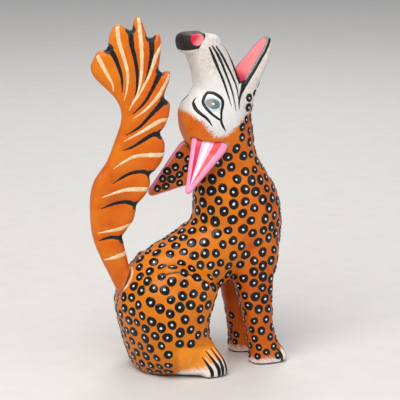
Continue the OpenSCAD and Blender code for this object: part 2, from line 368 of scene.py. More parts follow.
def stroke(pile, field, line, widths, height=0.16, lift=0.0, sunk=0.3, closed=False, ragged=0.0, seed=1):
    """A brush stroke of paint along points near the skin, as wide as `widths` says along it."""
    line = np.asarray(line, float)
    if closed:
        line = np.vstack([line, line[:1]])
    count = max(7, int(np.linalg.norm(np.diff(line, axis=0), axis=1).sum() / STROKE_STEP))
    c, n = field.on_skin(spline(line, count))
    at = np.linspace(0, 1, count)
    w = np.interp(at, np.linspace(0, 1, len(widths)), widths)
    if ragged:
        w = w * (1 + ragged * waves(c[:, 0], c[:, 1], c[:, 2], 2.2, seed))
    if closed:
        c, n, w = c[:-1], n[:-1], w[:-1]
        t = unit(np.roll(c, -1, 0) - np.roll(c, 1, 0))
    else:
        t = unit(np.gradient(c, axis=0))
    side = unit(np.cross(n, t))
    rows = []
    for k, h in STROKE:
        p, m = field.on_skin(c + side * (k * w / 2)[:, None], 2)
        up = np.full(len(c), -sunk) if h is None else lift + h * height * np.minimum(1, w / FULL_WIDTH)
        rows.append(p + m * up[:, None])
    pts = np.stack(rows, 1).reshape(-1, 3)
    f = ring_faces(len(c), len(STROKE), True) if closed else tube_faces(len(c), len(STROKE))
    pile.add(pts, [q[::-1] for q in f])


STAGES, DARTS, ROUNDS = 5, 30000, 12
CLOSE = 0.43                    # a new dart's least distance, as a share of the two spacings


def spread(points, may_be, spacing, rng, field):
    """Places about `spacing` apart on the skin: seeded darts, pushed evenly apart after each stage."""
    kept, radius = np.zeros((0, 3)), np.zeros(0)
    gap = spacing(points)
    for _ in range(STAGES):
        for i in rng.permutation(len(points))[:DARTS]:
            far = np.linalg.norm(kept - points[i], axis=1) - radius * CLOSE
            if len(kept) == 0 or np.min(far) > CLOSE * gap[i]:
                kept = np.vstack([kept, points[i]])
                radius = np.append(radius, gap[i])
        for _ in range(ROUNDS):
            d = kept[:, None] - kept[None]
            r = np.linalg.norm(d, axis=-1) + np.eye(len(kept)) * 99
            want = (radius[:, None] + radius[None]) * 0.5
            push = np.clip(want - r, 0, None) * 0.22
            moved, _ = field.on_skin(kept + (d / r[..., None] * push[..., None]).sum(1), 2)
            ok = may_be(moved)
            kept = np.where(ok[:, None], moved, kept)
            radius = spacing(kept)
    return kept, radius


# ---- Materials --------------------------------------------------------------

class Nodes:
    """A few words for building a node tree."""

    def __init__(self, name):
        self.mat = bpy.data.materials.new(name)
        self.mat.use_nodes = True
        self.tree = self.mat.node_tree
        self.bsdf = self.tree.nodes["Principled BSDF"]

    def new(self, kind, **inputs):
        n = self.tree.nodes.new(kind)
        for k, v in inputs.items():
            self.set(n.inputs[k.replace("_", " ")], v)
        return n

    def set(self, socket, v):
        """Feeds a socket from another one, a number, a vector, or a colour without its alpha."""
        if isinstance(v, bpy.types.NodeSocket):
            self.tree.links.new(v, socket)
        else:
            socket.default_value = (*v, 1) if socket.type == "RGBA" else v

    def attr(self, name):
        n = self.new("ShaderNodeAttribute")
        n.attribute_name = name
        return n.outputs["Fac"]

    def place(self):
        """Rest coordinates in metres, carried by the mesh."""
        return self.new("ShaderNodeTexCoord").outputs["Object"]

    def noise(self, scale, detail=4.0, rough=0.6, distortion=0.0, at=None):
        n = self.new("ShaderNodeTexNoise", Vector=at or self.place(), Scale=scale, Detail=detail,
                     Roughness=rough, Distortion=distortion)
        return n.outputs["Fac"]

    def math(self, op, a, b):
        n = self.tree.nodes.new("ShaderNodeMath")
        n.operation = op
        self.set(n.inputs[0], a)
        self.set(n.inputs[1], b)
        return n.outputs[0]

    def plus(self, a, b):
        return self.math("ADD", a, b)

    def times(self, a, b):
        return self.math("MULTIPLY", a, b)

    def wobble(self, v, noise, amount):
        """`v` made uneven by a noise round one half."""
        return self.plus(v, self.times(self.math("SUBTRACT", noise, 0.5), amount))

    def step(self, v, lo, hi):
        n = self.new("ShaderNodeMapRange", Value=v, From_Min=lo, From_Max=hi)
        n.interpolation_type = "SMOOTHSTEP"
        return n.outputs["Result"]

    def mix(self, fac, a, b, blend="MIX"):
        n = self.tree.nodes.new("ShaderNodeMix")
        n.data_type = "RGBA"
        n.blend_type = blend
        for k, v in ((0, fac), (6, a), (7, b)):
            self.set(n.inputs[k], v)
        return n.outputs[2]

    def ramp(self, v, stops, how="LINEAR"):
        n = self.new("ShaderNodeValToRGB", Fac=v)
        r = n.color_ramp
        r.interpolation = how
        while len(r.elements) < len(stops):
            r.elements.new(0.5)
        for e, (pos, col) in zip(r.elements, stops):
            e.position = pos
            e.color = (*col, 1)
        return n.outputs["Color"]

    def bump(self, height, strength, distance):
        n = self.new("ShaderNodeBump", Height=height, Strength=strength, Distance=distance * MM)
        return n.outputs["Normal"]

    def finish(self, color, rough, normal, spec):
        for name, v in (("Base Color", color), ("Roughness", rough), ("Normal", normal),
                        ("Specular IOR Level", spec)):
            self.set(self.bsdf.inputs[name], v)
        return self.mat


ORANGE, DEEP, YELLOW = (0.63, 0.133, 0.001), (0.47, 0.070, 0.001), (0.66, 0.20, 0.006)


def orange_paint(m):
    """The layered orange: painted shade making the hollows darker and redder, a painted highlight making the
    edges paler, and brush streaks.
    """
    broad = m.noise(70, 3, 0.5)
    fine = m.noise(420, 4, 0.65)
    col = m.ramp(broad, [(0.30, DEEP), (0.40, (0.58, 0.105, 0.001)), (0.52, ORANGE), (0.80, YELLOW)])
    col = m.mix(m.step(fine, 0.52, 0.80), col, YELLOW)
    # Painted shade: darker, redder orange in the hollows
    hollow = m.step(m.attr("cavity"), 0.10, 1.2)
    col = m.mix(m.times(hollow, 0.85), col, (0.42, 0.045, 0.004))
    # Painted highlight: paler orange on the edges
    edge = m.step(m.attr("cavity"), -0.35, -1.3)
    col = m.mix(m.times(edge, 0.45), col, (0.80, 0.29, 0.04))
    return col, fine


def foot_paint(m, col, speck, mid):
    """The plain hind foot with pale brush streaks down it, and every foot's dirty white edge."""
    along = m.new("ShaderNodeMapping", Vector=m.place())
    along.vector_type = "TEXTURE"
    m.set(along.inputs["Rotation"], (0, 0.9, 0))
    m.set(along.inputs["Scale"], (7, 1, 1))
    streak = m.noise(800, 4, 0.65, at=along.outputs[0])
    instep = m.step(m.attr("instep"), 0.3, 3.0)
    col = m.mix(m.times(instep, 0.9), col, (0.88, 0.29, 0.010))
    col = m.mix(m.times(instep, m.step(streak, 0.54, 0.86)), col, (0.88, 0.52, 0.24))
    feet = m.wobble(m.wobble(m.wobble(m.attr("feet"), streak, 5.0), speck, 2.0), mid, 3.0)
    return m.mix(m.times(m.step(feet, -1.2, 2.4), 0.92), col, (0.86, 0.80, 0.76))


def muzzle_paint(m, col, mid):
    """The pink mouth, the black nose with its pink nostrils, and the dark line at the ground."""
    pink = m.mix(m.noise(200, 3, 0.6), (0.82, 0.20, 0.24), (0.86, 0.30, 0.30))
    pink = m.mix(m.step(m.attr("mouth_deep"), 7.0, 2.5), pink, (0.60, 0.015, 0.07))
    col = m.mix(m.step(m.attr("mouth"), -0.15, 0.15), col, pink)
    black = m.mix(m.noise(500, 4, 0.7), (0.006, 0.006, 0.006), (0.026, 0.022, 0.021))
    dark = m.math("MAXIMUM", m.step(m.attr("nose"), -0.12, 0.12), m.step(m.attr("base"), -0.1, 0.25))
    col = m.mix(dark, col, black)
    red = m.mix(m.step(m.attr("nostril_depth"), -1, 1), (0.66, 0.012, 0.06), (0.84, 0.24, 0.27))
    return m.mix(m.step(m.wobble(m.attr("nostril"), mid, 1.5), -0.1, 0.35), col, red)


def body_paint():
    m = Nodes("painted_body")
    speck, mid = m.noise(1500, 5, 0.75), m.noise(260, 4, 0.7)
    col, fine = orange_paint(m)
    col = m.mix(m.times(m.attr("gold"), 0.6), col, (0.62, 0.185, 0.003))
    # Painted shade: the forelegs darker and redder
    col = m.mix(m.times(m.attr("foreleg_shade"), 0.5), col, (0.44, 0.066, 0.001))
    # Cream head, whiter round the eye, dry-brushed into the orange at its border
    cream = m.ramp(m.noise(800, 6, 0.75), [(0.28, (0.44, 0.35, 0.29)), (0.42, (0.60, 0.54, 0.49)),
                                           (0.58, (0.69, 0.66, 0.62)), (0.80, (0.78, 0.78, 0.76))])
    cream = m.mix(m.times(m.step(m.noise(120, 4, 0.6), 0.5, 0.75), 0.16), cream, (0.62, 0.45, 0.34))
    cream = m.mix(m.times(m.attr("cheek"), 0.6), cream, (0.74, 0.755, 0.76))
    head = m.wobble(m.wobble(m.attr("white"), speck, 7.0), mid, 5.0)
    col = m.mix(m.step(head, -0.5, 0.9), col, cream)
    # The crease over the haunch: a pale painted highlight on the edge below it, under a dark line painted
    # along the crease
    light = m.times(m.attr("ledge_highlight"), m.step(mid, 0.30, 0.62))
    col = m.mix(m.times(light, 0.55), col, (0.80, 0.42, 0.16))
    crease_line = m.wobble(m.attr("ledge"), mid, 0.8)
    col = m.mix(m.times(m.step(crease_line, 0.62, 0.22), 0.85), col, (0.07, 0.022, 0.006))
    col = foot_paint(m, col, speck, mid)
    col = muzzle_paint(m, col, mid)
    col = m.mix(m.step(m.attr("socket"), 0.05, 0.25), col, (0.56, 0.40, 0.24))
    rough = m.plus(m.plus(m.times(mid, 0.30), 0.24), m.times(m.step(m.attr("white"), -1, 1), 0.14))
    height = m.plus(m.times(fine, 0.6), m.times(speck, 0.35))
    return m.finish(col, rough, m.bump(height, 0.35, 0.16), 0.25)


def tail_paint():
    m = Nodes("painted_tail")
    col, fine = orange_paint(m)
    # Painted shade: redder, darker orange towards the tail's front edge, more so low down, against its lit
    # rear edge
    col = m.mix(m.times(m.attr("deep"), 0.5), col, (0.58, 0.066, 0.002))
    black = m.mix(m.noise(500, 4, 0.7), (0.012, 0.010, 0.010), (0.05, 0.045, 0.042))
    col = m.mix(m.step(m.attr("notch"), -0.15, 0.25), col, black)
    col = m.mix(m.step(m.attr("seat"), -0.1, 0.2), col, (0.60, 0.44, 0.27))
    rough = m.plus(m.times(m.noise(260, 4, 0.7), 0.28), 0.24)
    return m.finish(col, rough, m.bump(fine, 0.35, 0.14), 0.25)


def ear_paint():
    m = Nodes("painted_ear")
    col, fine = orange_paint(m)
    across = m.plus(m.times(m.wobble(m.attr("stripe"), m.noise(300, 3, 0.6), 0.10), 0.5), 0.5)
    pink, light, white = (0.86, 0.30, 0.54), (0.88, 0.46, 0.64), (0.90, 0.82, 0.88)
    crimson, red = (0.58, 0.004, 0.055), (0.82, 0.055, 0.07)
    face = m.ramp(across, [(0.0, pink), (0.05, crimson), (0.27, light), (0.40, white), (0.53, light),
                           (0.66, red), (0.90, pink)], "CONSTANT")
    face = m.mix(m.times(m.noise(500, 5, 0.7), 0.35), face, (0.96, 0.80, 0.86), "MULTIPLY")
    col = m.mix(m.step(m.attr("front"), -0.12, 0.12), col, face)
    col = m.mix(m.step(m.attr("rim"), -0.1, 0.15), col, (0.84, 0.27, 0.46))
    rough = m.plus(m.times(m.noise(260, 4, 0.7), 0.26), 0.28)
    return m.finish(col, rough, m.bump(fine, 0.3, 0.12), 0.45)


def plain_paint(name, dark, light, rough, scale, spec=0.5):
    m = Nodes(name)
    n = m.noise(scale, 4, 0.65)
    col = m.mix(m.step(n, 0.35, 0.75), dark, light)
    r = m.plus(m.times(m.noise(scale * 0.6, 3, 0.6), 0.18), rough - 0.09)
    return m.finish(col, r, m.bump(n, 0.3, 0.08), spec)


def bare_wood():
    m = Nodes("bare_wood")
    at = m.new("ShaderNodeMapping", Vector=m.place(), Scale=(1.0, 1.0, 0.25)).outputs[0]
    grain = m.noise(900, 6, 0.7, 0.4, at)
    col = m.ramp(grain, [(0.30, (0.36, 0.22, 0.11)), (0.50, (0.60, 0.43, 0.25)), (0.72, (0.74, 0.58, 0.38))])
    return m.finish(col, m.plus(m.times(grain, 0.2), 0.55), m.bump(grain, 0.4, 0.1), 0.3)


MAT = {
    "body": body_paint(), "tail": tail_paint(), "ear": ear_paint(), "wood": bare_wood(),
    "black": plain_paint("black_paint", (0.002, 0.002, 0.003), (0.008, 0.007, 0.008), 0.24, 700, 0.28),
    "soft_black": plain_paint("thin_black_paint", (0.004, 0.004, 0.004), (0.02, 0.018, 0.017), 0.4, 500, 0.25),
    "white": plain_paint("white_paint", (0.72, 0.70, 0.70), (0.90, 0.90, 0.90), 0.34, 500),
    "cream": plain_paint("cream_paint", (0.72, 0.47, 0.24), (0.90, 0.72, 0.48), 0.42, 300),
    # Painted reflection: grey for the sky's sheen on the lip's black rim
    "sheen_grey": plain_paint("painted_sheen_grey", (0.16, 0.19, 0.20), (0.32, 0.36, 0.37), 0.34, 400),
    "iris": plain_paint("iris_grey_paint", (0.09, 0.105, 0.11), (0.17, 0.19, 0.19), 0.32, 500),
    "sky": plain_paint("light_blue_paint", (0.36, 0.50, 0.56), (0.58, 0.70, 0.74), 0.36, 400),
    "filler": plain_paint("seam_filler", (0.62, 0.42, 0.32), (0.84, 0.68, 0.56), 0.6, 400),
}


# ---- The carved body --------------------------------------------------------

def mm_grid(field, low, high):
    """A window of the grid between two corners: its slices and its points."""
    i = np.maximum(np.floor(np.array(low) / field.step).astype(int) - field.low, 0)
    j = np.minimum(np.ceil(np.array(high) / field.step).astype(int) - field.low + 1, field.shape)
    cut = tuple(slice(a, b) for a, b in zip(i, j))
    axes = [(np.arange(a, b) + lo) * field.step for a, b, lo in zip(i, j, field.low)]
    return cut, np.stack(np.meshgrid(*axes, indexing="ij"), -1)


def carve(field, fr, reach, shape):
    """Cuts a hollow out of the field. `shape` is its distance at points in frame `fr`."""
    cut, p = mm_grid(field, fr[0] - reach, fr[0] + reach)
    field.s[cut] = np.maximum(field.s[cut], -shape(to_local(fr, p)))


def oval(q, half_x, half_y, power=3):
    """Roughly the distance to a squared-off oval in the plane of a frame."""
    a, b = np.abs(q[..., 0]) / half_x, np.abs(q[..., 1]) / half_y
    f = np.maximum((a ** power + b ** power) ** (1 / power), 1e-6)
    gx, gy = (a / f) ** (power - 1) / half_x, (b / f) ** (power - 1) / half_y
    return (f - 1) / np.maximum(np.hypot(gx, gy), 1e-6)


def between(q, low, high):
    return np.maximum(low - q[..., 2], q[..., 2] - high)


def round_hole(radius, low, high):
    return lambda q: np.maximum(np.hypot(q[..., 0], q[..., 1]) - radius, between(q, low, high))


def square_cut(half, low, high):
    return lambda q: np.maximum(np.abs(q[..., :2]).max(-1) - half, between(q, low, high))


def mouth_face(x, z, out_x, out_z, up_x, up_z):
    """A flat face of the mouth: where it starts at the corner, the way it runs out, and its normal."""
    rows = [unit((out_x, 0, out_z)), [0, 1, 0], unit((up_x, 0, up_z))]
    return np.array([x, 0, z]) + SHIFT, np.array(rows)


JAW = mouth_face(22.1, 128.95, 0.64, 0.768, -0.768, 0.64)
PALATE = mouth_face(21.6, 129.4, -0.31, 0.95, 0.95, 0.31)
LIP_STEPS = np.arange(0, 26, 0.5)   # distances from the mouth's corner at which the lips are measured


def lip_width(f, face, t):
    """Half width of a mouth face at distances t from the corner, measured on the carved wood."""
    t = np.atleast_1d(t)
    start = face[0] + face[1][0] * t[:, None] - face[1][2] * 0.7 + (0, 13, 0)
    p, hit = f.cast(start, (0, -1, 0), 14)
    return np.where(hit, p[:, 1], 0)


SIDES = (-1, 1)                 # the coyote's right side, which the photo shows, and its left
NOSTRIL = np.array([0.2, 0, 150.0]) + SHIFT
# The crease over each haunch, seen from the side
LEDGE = [(-21, 47.6), (-16, 49), (-11.5, 48.4), (-6.5, 46.2), (-1.5, 43.6), (1.5, 41)]


def fill_creases(f, raw, x, z):
    """Fillets the creases between the lofts, widest at the haunch and where the back meets the neck."""
    s = smin(raw, f.blurred(raw, 2.4) + 0.35, 0.8)
    fill = f.blurred(raw, 4.5) + 0.7
    haunch = ramp(42, 34, z) * ramp(12, 6, x)
    s = smin(s, fill + 6 * (1 - haunch), 1.2)
    nape = ramp(50, 58, z) * ramp(92, 84, z) * ramp(18, 12, x)
    return smin(s, fill + 6 * (1 - nape), 1.6)


def carve_nostrils(f):
    for side in SIDES:
        cut, p = mm_grid(f, NOSTRIL + (-8, -9, -6), NOSTRIL + (8, 9, 4))
        d = np.linalg.norm((p - NOSTRIL - (0, side * 8.6, 0)) * (0.62, 1, 0.8), axis=-1) - 2.9
        f.s[cut] = smax(f.s[cut], -d, 0.8)


def carve_mouth(f):
    """A wedge between two flat faces, each a little dished inside its lips."""
    cut, p = mm_grid(f, (10, -14, 126), (46, 14, 158))
    jaw, roof = to_local(JAW, p), to_local(PALATE, p)
    wedge = np.minimum(jaw[..., 2], roof[..., 2])
    f.s[cut] = smax(f.s[cut], wedge, 0.35)
    for q, face in ((jaw, JAW), (roof, PALATE)):
        width = np.interp(q[..., 0], LIP_STEPS, lip_width(f, face, LIP_STEPS))
        dish = 0.55 * (ramp(0.9, 2.6, width - np.abs(q[..., 1])) * ramp(0, 4, q[..., 0]))
        deeper = np.maximum(wedge, np.minimum(wedge + dish, dish))
        wedge = np.where(np.abs(q[..., 2]) < 2, deeper, wedge)
    f.s[cut] = smax(f.s[cut], wedge, 0.35)


def carve_ledges(f):
    """A shallow knife line along the top of each haunch, over a low roll."""
    for side in SIDES:
        line = from_side(f, spline(LEDGE, 16), side)
        cut, p = mm_grid(f, line.min(0) - 5, line.max(0) + 5)
        f.s[cut] += 1.1 * np.exp(-(segment_distance(p, line) / 1.1) ** 2)
        f.s[cut] -= 0.9 * np.exp(-(segment_distance(p, line - (0, 0, 2.8)) / 2.4) ** 2)


def carve_body():
    f = Field(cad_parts["body"].data, 0.5, 8)
    x, y, z = f.grid()
    x = x - SHIFT[0]
    f.s = f.blurred(fill_creases(f, f.s, x, z), 0.75)
    # The knife's flats, very low
    f.s += (0.12 * waves(x, y, z, 9, 3) + 0.04 * waves(x, y, z, 3.2, 4)).astype(np.float32)
    carve_nostrils(f)
    carve_mouth(f)
    carve_ledges(f)
    # The underside, drawn up towards the sides
    rise = 0.42 * (np.abs(y) - 14.5 - 4 * ramp(-14, -4, x)) - z - 6 * ramp(-6, 0, x)
    f.s = smax(smax(f.s, rise, 1.2), -z, 0.25).astype(np.float32)
    # The tail's seat and the sockets, sharp, as in the CAD
    carve(f, SEAT, 20, square_cut(SEAT_HALF, -GAP / 2, 12))
    carve(f, PEG, 16, round_hole(PEG_R + PEG_PLAY, -PEG_BORE, 9.5))
    for e in EARS.values():
        carve(f, e["fr"], 18, lambda q, e=e: np.maximum(oval(q, e["w"] + GAP, EAR_T + GAP),
                                                        between(q, -e["sunk"] - GAP, 9)))
        carve(f, e["fr"], 18, round_hole(EAR_PEG_R + PEG_PLAY, -e["sunk"] - EAR_BORE, -e["sunk"] + 0.5))
    return f


# Places of the paint on the body, in the middle plane: the cream head, the part of it that
# carries no dots, and the plain hind foot
NAPE = [(-12, 170), (-9, 121), (-3, 117), (-1.5, 115), (1, 113.5), (3, 110.5), (5.5, 107.5)]
HEAD = NAPE + [(9, 106.5), (13, 108.5), (17, 111), (20, 113.5), (24, 115), (28, 118), (50, 122), (50, 170)]
NO_DOTS = NAPE + [(9, 106), (13, 107), (17, 109), (19, 113), (21, 119), (24, 125), (28, 128.5), (34, 130),
                  (50, 131), (50, 170)]
HIND_FOOT = [(-19, 18.5), (-19.5, 12), (-17.5, 5), (-16, -3), (30, -3), (30, 15.5), (-3, 16), (-14, 18)]


def mouth_mask(f, p, n):
    """How far inside the lips each point is, on either face of the mouth."""
    masks = []
    for fr in (JAW, PALATE):
        q = to_local(fr, p)
        width = np.interp(q[:, 0], LIP_STEPS, lip_width(f, fr, LIP_STEPS))
        masks.append(np.min([width - 0.7 - np.abs(q[:, 1]), 1.3 - np.abs(q[:, 2]), q[:, 0] + 0.6,
                             (n @ fr[1][2] - 0.3) * 4], axis=0))
    return np.maximum(*masks)


def bare_mask(f, p, n):
    """Where the wood is bare: in the slots and bores and on the tail's seat."""
    bare = np.full(len(p), -1.0)
    for e in EARS.values():
        q = to_local(e["fr"], p)
        near = np.minimum(-oval(q, e["w"] + GAP + 0.3, EAR_T + GAP + 0.3), 9 - np.abs(q[:, 2]))
        bare = np.maximum(bare, near * (f.at(p + n * 1.2) < 1.15))
    q, r = to_local(SEAT, p), to_local(PEG, p)
    seat = (np.abs(q[:, 2] + GAP / 2) < 0.25) & (np.hypot(q[:, 0], q[:, 1]) < 5.4)
    bore = (np.hypot(r[:, 0], r[:, 1]) < 2.6) & (r[:, 2] < 2)
    return np.maximum(bare, np.where(seat | bore, 1, -1))


def body_masks(f, p):
    """Where each of the body's paints goes, positive inside it."""
    x, y, z = p[:, 0] - SHIFT[0], p[:, 1], p[:, 2]
    n = f.normal(p)
    ledge = np.full(len(p), 9.0)
    for side in SIDES:
        line = from_side(f, spline(LEDGE, 30), side)
        near = np.linalg.norm(p - line.mean(0), axis=1) < 18
        ledge[near] = segment_distance(p[near], line)
    above = z - np.interp(x, *np.array(LEDGE).T)
    # Height of the dirty white along the feet: the forepaws, higher at the claws, and the hind feet
    paws = 3.2 + 4.5 * ramp(34.5, 39, x)
    hind = 5.4 + 2.6 * ramp(-10, 5, x)
    nose = np.minimum((1.4 + (z - 146.4) * 0.7 - x) * 0.82, z - 146.2 - (x - 1.4) * 0.135)
    dimple = 1.0 - np.hypot((x - 0.7) / 3.2, (z - 150.3) / 2.9)
    return dict(
        # Painted shade and highlight: how hollow the skin is, for darker hollows and paler edges
        cavity=-f.at(p, f.blurred(f.s, 2.2)),
        white=inside_by(HEAD, x, z),
        cheek=ramp(17, 9, np.hypot(x - 9, z - 121)),
        gold=ramp(100, 70, z) * ramp(26, 8, x),
        # Painted shade: darker, redder forelegs
        foreleg_shade=ramp(56, 38, z) * ramp(13, 19, x),
        ledge=ledge,
        # Painted highlight: a pale band just under the crease
        ledge_highlight=ramp(3.6, 1.6, ledge) * ramp(-0.2, -0.8, above),
        feet=np.where(x > 18, paws, hind) - 12 * ramp(-14, -18, x) - z,
        instep=np.minimum(inside_by(HIND_FOOT, x, z), 15.5 - x),
        nose=np.where(z > 140, nose, -5),
        nostril=np.minimum(dimple * 2.6, (np.abs(y) - 4.2) / 1.2),
        nostril_depth=(x - 0.8) * 0.45 - (z - 150.0) * 0.35,
        mouth=mouth_mask(f, p, n),
        mouth_deep=np.linalg.norm((p - PALATE[0])[:, [0, 2]], axis=1),
        base=0.85 - z + 0.1 * waves(x, y, z, 7, 8),
        socket=bare_mask(f, p, n))


# Stroke paths on the head, seen from the side, with their widths
WHISKERS = [
    ([(5.9, 146.7), (7.8, 142), (10, 136.5), (12, 131), (13.4, 125.5), (14.3, 120.3)],
     [0.8, 1.4, 1.2, 1.05, 0.8, 0.3]),
    ([(7.3, 147.2), (10, 142.8), (12.3, 137.6), (14.3, 131.6), (15.7, 126.6), (16.2, 122), (16.4, 118)],
     [0.7, 1.35, 1.2, 1.05, 0.9, 0.65, 0.3]),
    ([(9.3, 146.9), (12.2, 142.4), (14.8, 137.1), (17, 131.9), (18.3, 127.6), (18.6, 122.6)],
     [0.7, 1.25, 1.2, 1.05, 0.8, 0.3])]
EYE = [(5.0, 126.3), (7.3, 126.1), (9.9, 124.1), (10.3, 122), (9.0, 118.3), (8.4, 115.1), (5.4, 117.1),
       (3.4, 119.4), (2.5, 122.1), (3.5, 124.4)]
EYE_TAIL = [(8.7, 116.5), (8.6, 114.5), (9.3, 112.3), (10.8, 109.6)]
BROW = [(0.9, 123.9), (-0.5, 122), (-0.8, 119.7), (0.2, 118), (2.1, 116.2), (3.3, 114.6), (4.6, 112.4)]
CHEEK = [(22.9, 131), (22.1, 127.8), (20.3, 125.2), (18.8, 122), (18.4, 118.5)]


def ellipse(cx, cz, rx, rz, tilt=0.0):
    t = np.arange(24) * math.pi / 12
    a, b, c, s = rx * np.cos(t), rz * np.sin(t), math.cos(tilt), math.sin(tilt)
    return np.stack([cx + a * c - b * s, cz + a * s + b * c], 1)


EYE_MIDDLE = (6.1, 121.8)


def paint_face(f, pile, side):
    black = pile["soft_black"]
    for path, widths in WHISKERS:
        stroke(black, f, from_side(f, path, side), widths, 0.14, ragged=0.08)
    patch(pile["white"], f, EYE, (6.3, 121), side, 0.06, 0.02)
    patch(pile["sky"], f, ellipse(6.1, 121.6, 3.5, 3.1, -0.2), (6.1, 121.6), side, 0.05, 0.07)
    patch(pile["iris"], f, ellipse(*EYE_MIDDLE, 2.85, 2.15, -0.1), EYE_MIDDLE, side, 0.07, 0.11)
    patch(pile["white"], f, ellipse(*EYE_MIDDLE, 0.55, 0.5), EYE_MIDDLE, side, 0.12, 0.18)
    stroke(black, f, from_side(f, EYE, side), [1.4, 1.6, 1.6, 1.5, 1.2, 1.0, 1.1, 1.3, 1.5, 1.6, 1.4], 0.16,
           0.04, closed=True)
    stroke(black, f, from_side(f, EYE_TAIL, side), [0.7, 1.3, 1.0, 0.3], 0.14)
    stroke(black, f, from_side(f, BROW, side), [0.6, 1.4, 1.8, 1.6, 1.3, 1.1, 0.4], 0.15, ragged=0.06)
    stroke(black, f, from_side(f, CHEEK, side), [3.6, 2.7, 1.6, 1.1, 0.3], 0.12)
    t = np.array([0.5, 4, 8, 12, 16, 19.5])[:, None]
    w = lip_width(f, PALATE, t[:, 0])[:, None] * (0, side, 0)
    lip = PALATE[0] + PALATE[1][0] * t - PALATE[1][2] * 0.5 + w + (0, side * 0.4, 0)
    stroke(black, f, lip, [2.6, 2.1, 1.6, 1.2, 0.8, 0.3], 0.12)


def paint_jaw(f, pile):
    """The black line round the lower lip, out along one side and back along the other, and inside it a grey
    band: a painted reflection of the sky on the glossy black rim.
    """
    reach = next(t for t in np.arange(26, 18, -0.1) if lip_width(f, JAW, t)[0] > 0.6)
    out = np.linspace(0.3, reach - 0.3, 14)
    t = np.concatenate([out, [reach + 0.5], out[::-1]])[:, None]
    way = np.concatenate([-np.ones(14), [0], np.ones(14)])[:, None]
    w = lip_width(f, JAW, t[:, 0])[:, None] * way * (0, 1, 0)
    lip = JAW[0] + JAW[1][0] * t - JAW[1][2] * (0.9 + 0.8 * (way > 0)) + w + way * (0, 0.4, 0)
    sheen_band = JAW[0] + JAW[1][0] * (t - 1.4 * (way == 0)) + w - way * (0, 0.5, 0)
    stroke(pile["soft_black"], f, lip, [2.0, 1.6, 1.4, 1.3, 1.2, 1.2, 1.2, 1.3, 1.4, 1.6, 2.0], 0.14)
    # Painted reflection: the grey band stands for the sky's sheen on the glossy black lip
    stroke(pile["sheen_grey"], f, sheen_band[1:-1], [0.8, 1.5, 1.6, 1.5, 1.3, 0.9, 1.3, 1.5, 1.6, 1.5, 0.8], 0.08)


def paint_head(f):
    names = dict(soft_black="face_lines", white="eye_whites", sky="eye_rings", iris="irises", sheen_grey="lip_sheen_band")
    pile = {paint: Pile() for paint in names}
    for side in SIDES:
        paint_face(f, pile, side)
    paint_jaw(f, pile)
    for paint, name in names.items():
        pile[paint].build(name, paint)


# The claws of a hind foot, seen from the side, and how far out from a forepaw's middle its claws are
CLAWS = [[(-6, 10.5), (-3.6, 7), (-1.6, 3.5), (-1.2, 0.9)],
         [(-4.2, 13.2), (-0.6, 8.2), (1.6, 4.4), (2.2, 0.9)],
         [(-1.4, 14), (1.9, 9), (3.6, 5), (4.1, 0.9)],
         [(1.4, 13.4), (4.2, 9), (5.8, 5), (6.4, 1.2)]]
PAW_MIDDLE = {-1: -12, 1: 9}
PAW_CLAWS = (-4.2, -0.8, 2.8, 6.2)


def paint_feet(f):
    black, white = Pile(), Pile()
    for side in SIDES:
        for k, path in enumerate(CLAWS):
            stroke(black, f, from_side(f, path, side), [0.3, 0.8, 1.3, 1.9, 1.7], 0.12, seed=k, ragged=0.1)
            pale = np.array(path) + (1.5, -0.2)
            stroke(white, f, from_side(f, pale[:3], side), [0.2, 0.45, 0.55, 0.3], 0.06, ragged=0.3)
        for out in PAW_CLAWS:
            y, back = PAW_MIDDLE[side] + side * out, 0.075 * out * out
            path = [(37.2 - back, y, 8.2), (40 - back, y, 5), (41.8 - 1.3 * back, y, 0.9)]
            stroke(black, f, np.array(path) + SHIFT, [0.4, 1.4, 1.7], 0.12, ragged=0.1)
    black.build("claw_lines", "black")
    white.build("claw_lights", "white")


def may_dot(f):
    """Where the body carries dots."""
    def ok(p):
        x, y, z = p[:, 0] - SHIFT[0], p[:, 1], p[:, 2]
        n = f.normal(p)
        good = (z > 2.6) & (inside_by(NO_DOTS, x, z) < -1.7) & (n[:, 2] > -0.75)
        good &= ~((z > 103 + 0.35 * np.minimum(x - 4, 0)) & (x < 7.5))
        # Hind feet, paws, the insides of the forelegs and the left one's back stay plain
        good &= ~((inside_by(HIND_FOOT, x, z) > -1.6) & (z < 17.5) & (x < 18))
        good &= ~((x > 17) & ((z < 3.6) | ((x > 36.5) & (z < 12))))
        inward = np.where(y > 0, -n[:, 1], n[:, 1])
        plain = (inward > 0.35 + 0.3 * (z < 21)) | ((n[:, 0] < -0.45) & (z > 21) & (y > 0))
        good &= ~((x > 14) & (z < 46) & plain)
        good &= ~((z < 42) & (x < 18) & (x > -2) & (inward > 0.35))
        # Clear of the tail's seat and the ears' slots
        q = to_local(SEAT, p)
        good &= ~((np.hypot(q[:, 0], q[:, 1]) < 8.2) & (np.abs(q[:, 2]) < 3.2))
        for e in EARS.values():
            q = to_local(e["fr"], p)
            good &= ~((oval(q, e["w"] + 1.6, EAR_T + 1.6) < 0.3) & (q[:, 2] < 16) & (q[:, 2] > -14))
        return good
    return ok


def dot_gap(p):
    """The dots' spacing: wider on the shoulder, closer on the forelegs, the feet and the throat."""
    x, z = p[:, 0] - SHIFT[0], p[:, 2]
    gap = (5.1 - 0.8 * ramp(30, 8, z) * (x > 16) - 0.4 * ramp(12, 4, z) * (x < 16)
           + 0.3 * ramp(60, 72, z) * ramp(95, 80, z))
    gap = gap - 0.7 * ((x > 16) & (z < 24) & (p[:, 1] > 0))
    return gap - 0.4 * ramp(4, 1, -inside_by(NO_DOTS, x, z)) - 0.6 * ramp(104, 112, z)


